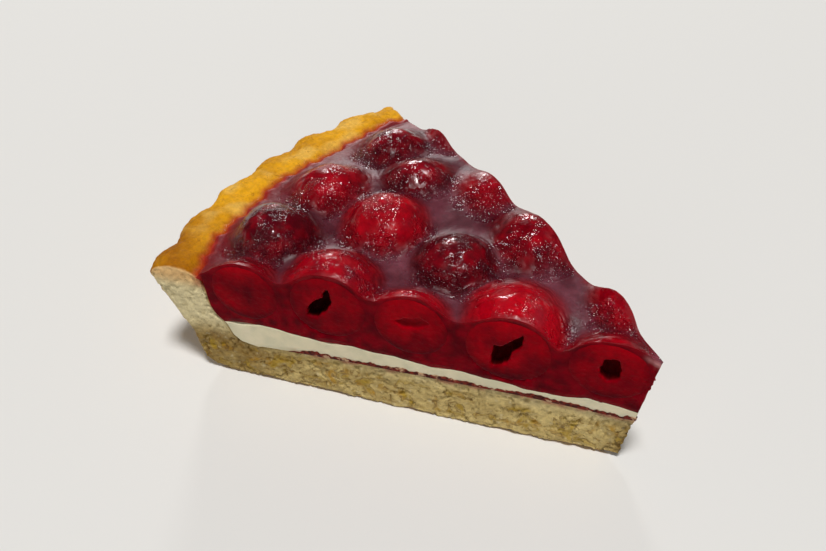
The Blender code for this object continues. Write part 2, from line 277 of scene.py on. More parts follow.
def rim_height(radius, turn):
    """Height of the rim's inner slope and crown, which the flutes move in and out."""
    inner = WALL_INSIDE[-2][1]
    outside = np.clip((radius - inner) / (RIM_CENTRE[0] - inner), 0.0, 1.0)
    wave = np.cos(FLUTES * turn + FLUTE_PHASE)
    upwards = (RIM_CENTRE[1] + 0.7 * RIM_ROUND[1]) / RIM_CENTRE[1]
    depth = FLUTE_DEPTH * (FLUTE_AT_FOOT + (1.0 - FLUTE_AT_FOOT) * upwards)
    unfluted = radius - depth * outside * wave
    share = np.clip((unfluted - RIM_CENTRE[0]) / RIM_ROUND[0], -1.0, 1.0)
    height = RIM_CENTRE[1] + RIM_ROUND[1] * np.sqrt(1.0 - share ** 2)
    return height - sunk(radius, turn, height)


def film_edge(turn):
    """Radius out to which the glaze laps over the rim, in uneven tongues."""
    wander = 0.00025 * np.sin(turn * 97.0 + 1.0) + 0.0002 * np.sin(turn * 173.0)
    return along_table(FILM_EDGE, np.degrees(turn)) + wander


# ---------------------------------------------------------------- meshes

def new_piece(name, mesh, node):
    piece = bpy.data.objects.new(name, mesh)
    bpy.context.scene.collection.objects.link(piece)
    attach(piece, "root")
    if node:
        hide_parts(node)
    return piece


def points_of(mesh):
    flat = np.empty(len(mesh.vertices) * 3)
    mesh.vertices.foreach_get("co", flat)
    return flat.reshape(-1, 3)


def normals_of(mesh):
    flat = np.empty(len(mesh.vertices) * 3)
    mesh.vertices.foreach_get("normal", flat)
    return flat.reshape(-1, 3)


def move_points(mesh, points):
    mesh.vertices.foreach_set("co", points.ravel())
    mesh.update()


def paint(mesh, name, values):
    """Keep a colour, or one number, for every point of a mesh."""
    if values.ndim == 2:
        layer = mesh.color_attributes.new(name, "FLOAT_COLOR", "POINT")
        rgba = np.concatenate([values, np.ones((len(values), 1))], axis=1)
        layer.data.foreach_set("color", rgba.ravel())
    else:
        layer = mesh.attributes.new(name, "FLOAT", "POINT")
        layer.data.foreach_set("value", values)


def crease_edges(mesh, chosen):
    """Keep the edges between chosen points sharp in the shading."""
    ends = np.empty(len(mesh.edges) * 2, dtype=np.int32)
    mesh.edges.foreach_get("vertices", ends)
    sharp = chosen[ends.reshape(-1, 2)].all(axis=1)
    mesh.edges.foreach_set("use_edge_sharp", sharp)


def mark_faces(mesh, chosen):
    """Give the second material to the faces that have any chosen point."""
    for polygon in mesh.polygons:
        polygon.material_index = int(any(chosen[index] for index in polygon.vertices))


def skin_of_block(name, steps, place):
    """Closed skin of a block of cells; place turns its three shares into points. The
    underside, which nothing shows, is one face."""
    out_steps, across_steps, up_steps = steps
    shape = (out_steps + 1, across_steps + 1, up_steps + 1)
    i, j, k = np.indices(shape)
    outside = ((i == 0) | (i == out_steps) | (j == 0) | (j == across_steps)
               | (k == up_steps))
    number = np.full(shape, -1)
    number[outside] = np.arange(outside.sum())
    shares = np.stack([i[outside] / out_steps, 2.0 * j[outside] / across_steps - 1.0,
                       k[outside] / up_steps], axis=1)
    quads = []
    for axis, last in enumerate(steps):
        for end in (0, last):
            if (axis, end) == (2, 0):
                continue
            sheet = np.take(number, end, axis=axis)
            a, b = sheet[:-1, :-1], sheet[1:, :-1]
            c, d = sheet[1:, 1:], sheet[:-1, 1:]
            faces = np.stack([a, b, c, d], axis=-1).reshape(-1, 4)
            quads.append(faces[:, ::-1] if (end == 0) == (axis != 1) else faces)
    low = number[:, :, 0]
    around = np.concatenate([low[:-1, 0], low[-1, :-1], low[:0:-1, -1], low[0, :0:-1]])
    faces = np.concatenate(quads).tolist() + [around[::-1].tolist()]
    mesh = bpy.data.meshes.new(name)
    mesh.from_pydata(place(*shares.T), [], faces)
    mesh.shade_smooth()
    mesh.update()
    return mesh, shares


def applied(obj):
    """The mesh of an object after its modifiers; the object goes."""
    depsgraph = bpy.context.evaluated_depsgraph_get()
    mesh = bpy.data.meshes.new_from_object(obj.evaluated_get(depsgraph))
    mesh.name = obj.name
    bpy.data.objects.remove(obj, do_unlink=True)
    return mesh


def remeshed(name, mesh, voxel, rounds, cutters=()):
    """An even fine mesh of a closed one, cut first and smoothed after."""
    holder = bpy.data.objects.new(name, mesh)
    bpy.context.scene.collection.objects.link(holder)
    for cutter in cutters:
        cut = holder.modifiers.new("cut", "BOOLEAN")
        cut.operation = "DIFFERENCE"
        cut.solver = "EXACT"
        cut.object = cutter
    remesh = holder.modifiers.new("remesh", "REMESH")
    remesh.mode = "VOXEL"
    remesh.voxel_size = voxel
    soften = holder.modifiers.new("soften", "SMOOTH")
    soften.factor = 0.5
    soften.iterations = rounds
    fine = applied(holder)
    for cutter in cutters:
        bpy.data.objects.remove(cutter, do_unlink=True)
    fine.materials.clear()
    fine.shade_smooth()
    return fine


# ---------------------------------------------------------------- materials

class Looks:
    """A Principled material and the nodes that feed it."""

    def __init__(self, name, **settings):
        self.material = bpy.data.materials.new(name)
        self.material.use_nodes = True
        self.tree = self.material.node_tree
        self.shader = self.tree.nodes["Principled BSDF"]
        self.place = self.add("ShaderNodeTexCoord").outputs["Object"]
        for socket, value in settings.items():
            self.shader.inputs[socket.replace("_", " ")].default_value = value

    def add(self, kind, **settings):
        node = self.tree.nodes.new(kind)
        for key, value in settings.items():
            setattr(node, key, value)
        return node

    def link(self, source, target):
        self.tree.links.new(source, target)

    def feed(self, source, socket):
        self.link(source, self.shader.inputs[socket])

    def painted(self, name, number=False):
        node = self.add("ShaderNodeAttribute", attribute_name=name)
        return node.outputs["Fac" if number else "Color"]

    def noise(self, size, detail=3.0, roughness=0.55, distortion=0.0):
        node = self.add("ShaderNodeTexNoise")
        self.link(self.place, node.inputs["Vector"])
        node.inputs["Scale"].default_value = 1.0 / size
        node.inputs["Detail"].default_value = detail
        node.inputs["Roughness"].default_value = roughness
        node.inputs["Distortion"].default_value = distortion
        return node.outputs["Fac"]

    def cells(self, size, feature="F1", randomness=1.0):
        node = self.add("ShaderNodeTexVoronoi", feature=feature)
        self.link(self.place, node.inputs["Vector"])
        node.inputs["Scale"].default_value = 1.0 / size
        node.inputs["Randomness"].default_value = randomness
        return node.outputs["Distance"]

    def span(self, value, low, high, to_low=0.0, to_high=1.0):
        node = self.add("ShaderNodeMapRange", interpolation_type="SMOOTHSTEP")
        self.link(value, node.inputs["Value"])
        for socket, number in (("From Min", low), ("From Max", high),
                               ("To Min", to_low), ("To Max", to_high)):
            node.inputs[socket].default_value = number
        return node.outputs["Result"]

    def grey(self, value):
        node = self.add("ShaderNodeCombineColor")
        for channel in ("Red", "Green", "Blue"):
            self.link(value, node.inputs[channel])
        return node.outputs["Color"]

    def sum(self, operation, first, second):
        node = self.add("ShaderNodeMath", operation=operation)
        for number, value in enumerate((first, second)):
            if isinstance(value, (int, float)):
                node.inputs[number].default_value = value
            else:
                self.link(value, node.inputs[number])
        return node.outputs["Value"]

    def blend(self, first, second, share, kind="MIX"):
        node = self.add("ShaderNodeMix", data_type="RGBA", blend_type=kind)
        for socket, value in (("A", first), ("B", second)):
            if isinstance(value, (tuple, np.ndarray)):
                node.inputs[socket].default_value = (*value, 1.0)
            else:
                self.link(value, node.inputs[socket])
        if isinstance(share, (int, float)):
            node.inputs["Factor"].default_value = share
        else:
            self.link(share, node.inputs["Factor"])
        return node.outputs["Result"]

    def bump(self, height, distance, below=None):
        node = self.add("ShaderNodeBump")
        node.inputs["Distance"].default_value = distance
        self.link(height, node.inputs["Height"])
        if below is not None:
            self.link(below, node.inputs["Normal"])
        return node.outputs["Normal"]


def crust_looks():
    looks = Looks("crust", Roughness=0.7, Specular_IOR_Level=0.12)
    base = looks.painted("paint")
    cut = looks.painted("cut", number=True)
    belt = looks.painted("belt", number=True)
    shade = looks.span(looks.noise(0.0012, 4.0, 0.6), 0.3, 0.7, 0.84, 1.12)
    shaded = looks.blend(base, looks.grey(shade), 1.0, "MULTIPLY")

    # Yolk-yellow patches with soft edges, in broken brown outlines
    yolk = looks.noise(0.0052, 3.0, 0.6, 0.8)
    patch = looks.sum("MULTIPLY", looks.span(yolk, 0.48, 0.64), belt)
    warm = looks.span(looks.noise(0.006, 1.0), 0.50, 0.58)
    yellow = looks.blend(tuple(CUSTARD), tuple(YOLK_ORANGE), warm)
    ring = looks.sum("SUBTRACT", looks.span(yolk, 0.49, 0.52), looks.span(yolk, 0.53, 0.57))
    broken = looks.span(looks.noise(0.0015, 2.0), 0.40, 0.54)
    ring = looks.sum("MULTIPLY", looks.sum("MULTIPLY", ring, broken), belt)
    crumb = looks.blend(shaded, yellow, looks.sum("MULTIPLY", patch, 0.8))
    crumb = looks.blend(crumb, tuple(PATCH_EDGE), looks.sum("MULTIPLY", ring, 0.6))

    specks = looks.span(looks.noise(0.0005, 2.0, 0.6), 0.62, 0.68)
    clusters = looks.span(looks.noise(0.0045, 2.0), 0.46, 0.60)
    specks = looks.sum("MULTIPLY", looks.sum("MULTIPLY", specks, clusters), cut)
    crumb = looks.blend(crumb, tuple(PATCH_EDGE), looks.sum("MULTIPLY", specks, 0.7))
    flecks = looks.span(looks.noise(0.0013, 4.0, 0.75, 1.0), 0.58, 0.66)
    flecks = looks.sum("MULTIPLY", flecks, looks.span(cut, 0.0, 1.0, 0.5, 0.0))
    looks.feed(looks.blend(crumb, tuple(CRUST_FLECK), flecks), "Base Color")

    gloss = looks.painted("gloss", number=True)
    looks.feed(looks.span(gloss, 0.0, 1.0, 0.72, 0.22), "Roughness")
    grain = looks.bump(looks.noise(0.0007, 5.0, 0.65), 0.0003)
    looks.feed(looks.bump(looks.cells(0.0011), 0.00012, grain), "Normal")
    return looks.material


def fruit_looks(name, roughness, subsurface, speckle_depth):
    looks = Looks(name, Specular_IOR_Level=0.36, Subsurface_Weight=subsurface, Subsurface_Scale=0.0015,
                  Subsurface_Radius=(1.0, 0.15, 0.1))
    base = looks.painted("paint")
    streaks = looks.span(looks.noise(0.0016, 4.0, 0.6, 1.0), 0.3, 0.7, 0.85, 1.15)
    looks.feed(looks.blend(base, looks.grey(streaks), 1.0, "MULTIPLY"), "Base Color")
    wrinkled = looks.painted("wrinkled", number=True)
    fine = looks.noise(0.0012, 1.5, 0.5, 1.2)
    creases = looks.sum("ABSOLUTE", looks.sum("SUBTRACT", fine, 0.5), 0.0)
    level = looks.sum("SUBTRACT", creases, 0.08)
    height = looks.sum("MULTIPLY", level, wrinkled)
    soft = looks.bump(looks.noise(0.003, 3.0), 0.0002)
    looks.feed(looks.bump(height, speckle_depth, soft), "Normal")
    wet = looks.painted("wet", number=True)
    looks.feed(looks.span(wet, 0.0, 1.0, FLAT_ROUGHNESS, roughness), "Roughness")
    return looks.material


def flesh_looks(name, roughness):
    looks = Looks(name, Roughness=roughness, Specular_IOR_Level=0.015,
                  Subsurface_Weight=0.3, Subsurface_Scale=0.002,
                  Subsurface_Radius=(1.0, 0.1, 0.08))
    base = looks.painted("paint")
    streaks = looks.span(looks.noise(0.0013, 4.0, 0.6, 0.6), 0.3, 0.7, 0.86, 1.14)
    looks.feed(looks.blend(base, looks.grey(streaks), 1.0, "MULTIPLY"), "Base Color")
    looks.feed(looks.bump(looks.noise(0.0012, 4.0, 0.6), 0.0002), "Normal")
    return looks.material


def cream_looks():
    looks = Looks("cream", Roughness=0.45, Subsurface_Weight=0.2,
                  Subsurface_Scale=0.0015, Subsurface_Radius=(1.0, 0.8, 0.5))
    tint = looks.span(looks.noise(0.004, 3.0), 0.3, 0.7)
    looks.feed(looks.blend(tuple(colour(230, 218, 184)), tuple(colour(214, 206, 172)), tint),
               "Base Color")
    looks.feed(looks.bump(looks.noise(0.0012, 3.0), 0.0001), "Normal")
    return looks.material


def jam_looks():
    looks = Looks("jam", Roughness=0.45, Specular_IOR_Level=0.08)
    tint = looks.span(looks.noise(0.0011, 3.0), 0.38, 0.62)
    dark_red = looks.blend(tuple(colour(62, 10, 6)), tuple(colour(126, 40, 24)), tint)
    smear = looks.span(looks.noise(0.0022, 3.0, 0.6), 0.56, 0.64)
    looks.feed(looks.blend(dark_red, tuple(colour(186, 150, 116)), smear), "Base Color")
    looks.feed(looks.bump(looks.noise(0.0006, 3.0), 0.0002), "Normal")
    return looks.material


# ---------------------------------------------------------------- cherries

def on_face(side, along, height, depth):
    """Place on a cut face, or as far behind it as depth says."""
    lean = (KNIFE_TOP - height) * math.tan(KNIFE_LEAN)
    outwards = Vector((-math.cos(HALF_ANGLE), side * math.sin(HALF_ANGLE), 0.0))
    inwards = Vector((-math.sin(HALF_ANGLE), -side * math.cos(HALF_ANGLE), 0.0))
    place = Vector((TIP_X, 0.0, height)) + outwards * along + inwards * (lean + depth)
    return place


def face_places(points, side):
    """How far along a cut face points lie from the tip, and how high, in metres."""
    outwards = np.array((-math.cos(HALF_ANGLE), side * math.sin(HALF_ANGLE)))
    return (points[:, :2] - (TIP_X, 0.0)) @ outwards, points[:, 2]


class Ball:
    """A cherry's whole ball, before the knives cut it."""

    def __init__(self, number, cherry):
        self.number = number
        self.node = "cherry_%02d" % number
        self.tone = cherry.tone
        turn = math.radians(cherry.bearing)
        self.centre = np.array((TIP_X - cherry.reach * math.cos(turn),
                                cherry.reach * math.sin(turn),
                                cherry.crown - cherry.tall / 2.0))
        self.radii = np.array((cherry.radius * cherry.oval, cherry.radius,
                               cherry.tall / 2.0))
        heading = math.radians(cherry.heading)
        self.axes = np.array(((math.cos(heading), -math.sin(heading), 0.0),
                              (math.sin(heading), math.cos(heading), 0.0),
                              (0.0, 0.0, 1.0)))
        centre = self.centre[None, :]
        self.sides = [side for side in (NEAR, FAR)
                      if inside_face(centre, side)[0] < self.radii[:2].max() - 0.4 * MM]

    def share(self, points):
        """1 on the ball's surface and less inside it."""
        return np.linalg.norm((points - self.centre) @ self.axes / self.radii, axis=1)


BALLS = [Ball(number, cherry) for number, cherry in enumerate(CHERRIES, start=1)]


def joined(first, second, reach):
    """Distance to two bodies that run together in a soft hollow."""
    near = np.maximum(reach - np.abs(first - second), 0.0) / reach
    return np.minimum(first, second) - near ** 2 * reach / 4.0


def above_jelly(points, level):
    """How far points lie above the skin that runs over the jelly and the cherries."""
    distance = points[:, 2] - level
    for ball in BALLS:
        directions = (points - ball.centre) @ ball.axes / ball.radii
        share = np.linalg.norm(directions, axis=1)
        off = (share - 1.0) * ball.radii.mean() - SKIN
        distance = joined(distance, off, SKIN_FOLD)
    radius, turn = tart_radius(points), bearing(points)
    off_rim = points[:, 2] - rim_height(radius, turn) - FILM_THICKNESS
    by_rim = radius > RIM_CENTRE[0] - RIM_ROUND[0] - 3.0 * MM
    return np.where(by_rim, joined(distance, off_rim, RIM_FOLD), distance)


def jelly_top(points):
    """Height of the jelly's skin, found by halving the step between low and high."""
    level = jelly_level(points)
    low, high = level - 1.0 * MM, level + 12.0 * MM
    for _ in range(12):
        middle = (low + high) / 2.0
        outside = above_jelly(np.column_stack([points[:, :2], middle]), level) > 0.0
        low, high = np.where(outside, low, middle), np.where(outside, middle, high)
    radius, turn = tart_radius(points), bearing(points)
    at_edge = smooth(FILM_SLOPE, 0.0, film_edge(turn) - radius)
    return high * (1.0 - at_edge) + (rim_height(radius, turn) - FILM_DIP) * at_edge


def folds(points, ball):
    """Creases of the skin that run round a cherry's foot."""
    offset = (points - ball.centre) @ ball.axes / ball.radii
    share = np.linalg.norm(offset, axis=1)
    away = (share - 1.0) * ball.radii.mean()
    around = np.arctan2(offset[:, 1], offset[:, 0])
    wide = np.column_stack([np.cos(around), np.sin(around), away / (0.55 * MM)])
    wide[:, :2] *= 2.6
    ridges = 1.0 - 2.2 * np.abs(noise(wide, 1.0, 80.0 + ball.number))
    low = smooth(0.5 * ball.radii[2], 0.1 * ball.radii[2], np.abs(points[:, 2] - JELLY_LEVEL))
    return np.clip(ridges, -0.2, 1.0) * low * smooth(2.8 * MM, 0.6 * MM, np.abs(away))


def beside_fruit(points):
    """How far points lie from the nearest cherry, and how bright that cherry is."""
    away = np.full(len(points), 1.0)
    tone = np.zeros(len(points))
    for ball in BALLS:
        off = (ball.share(points) - 1.0) * ball.radii.mean()
        tone = np.where(off < away, ball.tone, tone)
        away = np.minimum(away, off)
    return away, tone


def fruit_paint(points, tone, high):
    """Colour of a cherry's skin, with painted shade that makes it darker low down."""
    patches = noise(points, 4.0 * MM, 2.0) * 0.35 + noise(points, 1.7 * MM, 3.0) * 0.2
    fruit = mix(FRUIT_DARK, FRUIT_BRIGHT, np.clip(tone + patches, 0.0, 1.0))
    return mix(FRUIT_SHADE, fruit, 0.35 + 0.65 * high)


def glaze_paint(points):
    """Colour of the glazed top: fruit, or milky jelly with a painted sheen where the jelly is thick."""
    away, tone = beside_fruit(points)
    # Painted shade: the fruit under the glaze darkens towards the foot of each dome
    high = smooth(-0.5 * MM, 4.5 * MM, points[:, 2] - jelly_level(points))
    fruit = fruit_paint(points, tone, high)
    # The milky mauve-grey between the cherries is partly the jelly's own colour and partly a painted
    # sheen
    cloud = 0.5 + 0.8 * noise(points, 7.0 * MM, 4.0) + 0.2 * noise(points, 2.0 * MM, 5.0)
    milk_and_sheen = mix(JELLY_DARK, JELLY_MILKY_SHEEN, np.clip(cloud, 0.0, 1.0))
    wander = noise(points, 5.0 * MM, 6.0) * 0.8 * MM
    return mix(fruit, milk_and_sheen, smooth(0.3 * MM, 3.2 * MM, away + wander))


def wrinkles_at(points):
    """Where the glaze's skin has dried in fine wrinkles: mostly at each cherry's foot, on
    the side that the glaze slumped to, and in patches on the crowns."""
    rise = points[:, 2] - jelly_level(points) + 1.2 * MM * noise(points, 3.0 * MM, 10.0)
    slump = np.array((math.cos(SLUMP_HEADING), math.sin(SLUMP_HEADING)))
    feet = np.zeros(len(points))
    for ball in BALLS:
        away = (ball.share(points) - 1.0) * ball.radii.mean()
        outwards = points[:, :2] - ball.centre[:2]
        towards = outwards @ slump / np.maximum(np.hypot(*outwards.T), 1.0 * MM)
        feet = np.maximum(feet, smooth(4.6 * MM, 2.2 * MM, away) * smooth(-0.1, 0.5, towards))
    feet = feet * smooth(5.5 * MM, 3.0 * MM, rise)
    patches = noise(points, 4.5 * MM, 8.0) + 0.5 * noise(points, 1.6 * MM, 9.0)
    crowns = smooth(3.0 * MM, 5.5 * MM, rise) * smooth(-0.2, 0.5, patches)
    tip = smooth(9.0 * MM, 4.0 * MM, tart_radius(points))
    shore = smooth(1.5 * MM, 5.0 * MM, film_edge(bearing(points)) - tart_radius(points))
    return 0.03 + (feet * smooth(-0.45, -0.1, patches) + crowns + tip) * shore


def wetness_at(points, wrinkled):
    """Where the glaze is wet and glossy: on the cherries and where it has wrinkled."""
    rise = points[:, 2] - jelly_level(points) + 1.2 * MM * noise(points, 4.0 * MM, 15.0)
    dome = smooth(1.0 * MM, 3.5 * MM, rise) * (0.75 + 0.5 * noise(points, 3.0 * MM, 16.0))
    shore = smooth(1.5 * MM, 5.0 * MM, film_edge(bearing(points)) - tart_radius(points))
    return np.clip(np.maximum(smooth(0.15, 0.6, wrinkled), dome * shore), 0.0, 1.0)


def torn(outline):
    """The outline with every side split in four and pushed about a little."""
    after = np.roll(outline, -1, axis=0)
    shares = np.arange(4)[None, :, None] / 4.0
    places = (outline[:, None] * (1.0 - shares) + after[:, None] * shares).reshape(-1, 2)
    spots = np.column_stack([places, np.zeros(len(places))])
    push = np.column_stack([noise(spots, 1.1 * MM, seed) for seed in (81.0, 82.0)])
    return places + 0.5 * MM * push


def pit_cutter(pit):
    """A tapering block whose outline is the pit's, let into the cut face."""
    outline = torn(np.array(pit.outline) * MM)
    middle = np.mean(outline, axis=0)
    bm = bmesh.new()
    rings = []
    for depth, width in ((-1.0 * MM, 1.0), (0.0, 1.0), (pit.depth * 0.6, 0.85),
                         (pit.depth, 0.45)):
        ring = []
        for along, height in outline:
            along = middle[0] + (along - middle[0]) * width
            height = middle[1] + (height - middle[1]) * width
            ring.append(bm.verts.new(on_face(pit.side, along, height, depth)))
        rings.append(ring)
    for upper, lower in zip(rings, rings[1:]):
        for number in range(len(outline)):
            after = (number + 1) % len(outline)
            bm.faces.new((upper[number], upper[after], lower[after], lower[number]))
    bm.faces.new(rings[0][::-1])
    bm.faces.new(rings[-1])
    bmesh.ops.recalc_face_normals(bm, faces=bm.faces)
    mesh = bpy.data.meshes.new("pit")
    bm.to_mesh(mesh)
    bm.free()
    cutter = bpy.data.objects.new("pit", mesh)
    bpy.context.scene.collection.objects.link(cutter)
    return cutter


def ball_mesh(ball):
    """The ball, cut flat by the knives that pass through it."""
    bm = bmesh.new()
    fineness = 6 if ball.sides else 5
    bmesh.ops.create_icosphere(bm, subdivisions=fineness, radius=1.0)
    directions = np.array([vertex.co for vertex in bm.verts])
    points = ball.centre + (directions * ball.radii) @ ball.axes.T
    for vertex, point in zip(bm.verts, points):
        vertex.co = point
    for side in ball.sides:
        place = on_face(side, 0.05, 0.03, 0.0)
        normal = (on_face(side, 0.05, 0.03, -1.0) - place)
        lean = math.sin(KNIFE_LEAN)
        normal = Vector((normal.x * math.cos(KNIFE_LEAN), normal.y * math.cos(KNIFE_LEAN),
                         -lean))
        everything = bm.verts[:] + bm.edges[:] + bm.faces[:]
        cut = bmesh.ops.bisect_plane(bm, geom=everything, plane_co=place, plane_no=normal,
                                     clear_outer=True)
        loop = [item for item in cut["geom_cut"] if isinstance(item, bmesh.types.BMEdge)]
        bmesh.ops.contextual_create(bm, geom=loop)
    mesh = bpy.data.meshes.new(ball.node)
    bm.to_mesh(mesh)
    bm.free()
    return mesh


def cherry_piece(ball, looks, cut_looks):
    mesh = ball_mesh(ball)
    if ball.sides:
        cutters = [pit_cutter(pit) for pit in PITS if pit.cherry == ball.number]
        mesh = remeshed(ball.node, mesh, CUT_CHERRY_VOXEL, 3, cutters)
    mesh.shade_smooth()
    points, normals = points_of(mesh), normals_of(mesh)
    share = ball.share(points)
    facing = np.zeros(len(points))
    hollow = np.zeros(len(points))
    for side in (NEAR, FAR):
        depth = inside_face(points, side)
        on_cut = smooth(0.5 * MM, 0.15 * MM, depth) * smooth(1.01, 0.97, share)
        facing = np.maximum(facing, on_cut)
    for pit in PITS:
        if pit.cherry == ball.number:
            depth = inside_face(points, pit.side)
            # Painted shade: the pit's hollow is painted dark, as strongly as the pit's dark value says
            hollow = smooth(0.15 * MM, 1.0 * MM, depth) * smooth(0.90, 0.80, share)
            hollow = hollow * pit.dark
    dome = 1.0 - np.maximum(facing, hollow)
    wrinkle = noise(points, 1.6 * MM, 6.0) * 0.07 + noise(points, 0.7 * MM, 7.0) * 0.03
    # The cut face sinks towards its edge, to pass under the jelly without a step
    sink = 0.30 * smooth(0.90, 1.0, share)
    bulge = facing * (0.08 * smooth(0.95, 0.80, share) - sink + 0.03 * noise(points, 1.5 * MM, 4.0))
    points = points + normals * (MM * (wrinkle * dome + bulge))[:, None]
    move_points(mesh, points)

    skin = fruit_paint(points, ball.tone, 0.6)
    rise = (points[:, 2] - ball.centre[2]) / ball.radii[2]
    streak = noise(points * (1.0, 1.0, 0.4), 1.3 * MM, 12.0) * 0.12
    # Painted light and shade: the cut flesh is lighter towards the top and darker low down, most of all
    # near its lower edge
    lit = 0.40 + 0.55 * rise * np.abs(rise) + streak + 0.35 * noise(points, 6.0 * MM, 13.0)
    lit = np.clip(lit, 0.0, 1.0)
    flesh = mix(FLESH_DARK, FLESH_BRIGHT, lit * (0.55 + 0.45 * ball.tone))
    flesh = mix(flesh, FLESH_DARK, 0.55 * smooth(0.72, 1.0, share) * smooth(0.8, 0.1, rise))
    torn = smooth(0.05, 0.5, noise(points, 3.5 * MM, 14.0)) * smooth(0.1, 0.7, rise)
    flesh = mix(flesh, MEMBRANE, smooth(0.93, 0.975, share) * 0.5 * torn)
    flesh = mix(flesh, JELLY_CUT, 0.6 * smooth(0.90, 0.98, share + 0.04 * streak) * (1.0 - torn))
    paints = mix(skin, flesh, smooth(0.0, 0.4, facing))
    paints = mix(paints, PIT_SHADE, hollow)
    paint(mesh, "paint", paints)
    paint(mesh, "wrinkled", 0.25 * facing)
    paint(mesh, "wet", dome)
    mesh.materials.append(cut_looks if ball.sides else looks)
    return new_piece("fruit_" + ball.node[-2:], mesh, ball.node)


# ---------------------------------------------------------------- layers

def cream_height(points):
    """Height of the cream's uneven top."""
    radius = tart_radius(points)
    flat = np.column_stack([points[:, :2], np.zeros(len(points))])
    waves = 1.25 * noise(flat, 9.0 * MM, 21.0) + 0.22 * noise(flat, 2.4 * MM, 22.0)
    height = along_table(CREAM_TOP, radius) + (0.35 + waves) * MM
    return height - sunk(radius, bearing(points), height)


def base_height(radius):
    return along_table(BASE_TOP, radius)


def jam_thickness(points):
    """The jam lies in a thin uneven spread that almost runs out in places."""
    flat = np.column_stack([points[:, :2], np.zeros(len(points))])
    spread = (0.85 + 0.7 * noise(flat, 7.0 * MM, 31.0) + 0.7 * noise(flat, 1.5 * MM, 32.0)
              + 0.35 * noise(flat, 0.7 * MM, 33.0))
    edge = smooth(JAM_RADIUS, JAM_RADIUS - 6.0 * MM, tart_radius(points))
    clot = np.exp(-((tart_radius(points) - CLOT_RADIUS) / (4.5 * MM)) ** 2)
    return MM * np.clip(spread + 0.6 * clot, 0.08, 1.6) * edge


def jam_piece():
    def place(out, across, up):
        flat = in_slice(out, across, np.full(len(out), 0.0152), JAM_RADIUS, -0.10 * MM)
        low = base_height(tart_radius(flat)) - 0.10 * MM
        height = low + up * (jam_thickness(flat) + 0.10 * MM)
        return in_slice(out, across, height, JAM_RADIUS, -0.10 * MM)

    mesh, _ = skin_of_block("jam", (380, 24, 6), place)
    mesh.materials.append(jam_looks())
    return new_piece("jam", mesh, "jam_layer")


def cream_piece():
    def place(out, across, up):
        low_edge, high_edge = WALL_INSIDE[0][1], CREAM_TOP[-1][0]
        low_flat = in_slice(out, across, np.full(len(out), 0.014), low_edge)
        high_flat = in_slice(out, across, np.full(len(out), 0.019), high_edge)
        low = base_height(tart_radius(low_flat)) + 0.45 * jam_thickness(low_flat)
        height = low + up * (cream_height(high_flat) - low)
        return in_slice(out, across, height, along_table(WALL_INSIDE, height) + 0.1 * MM)

    mesh, _ = skin_of_block("cream", (320, 24, 16), place)
    mesh.materials.append(cream_looks())
    return new_piece("cream", mesh, "cream_layer")


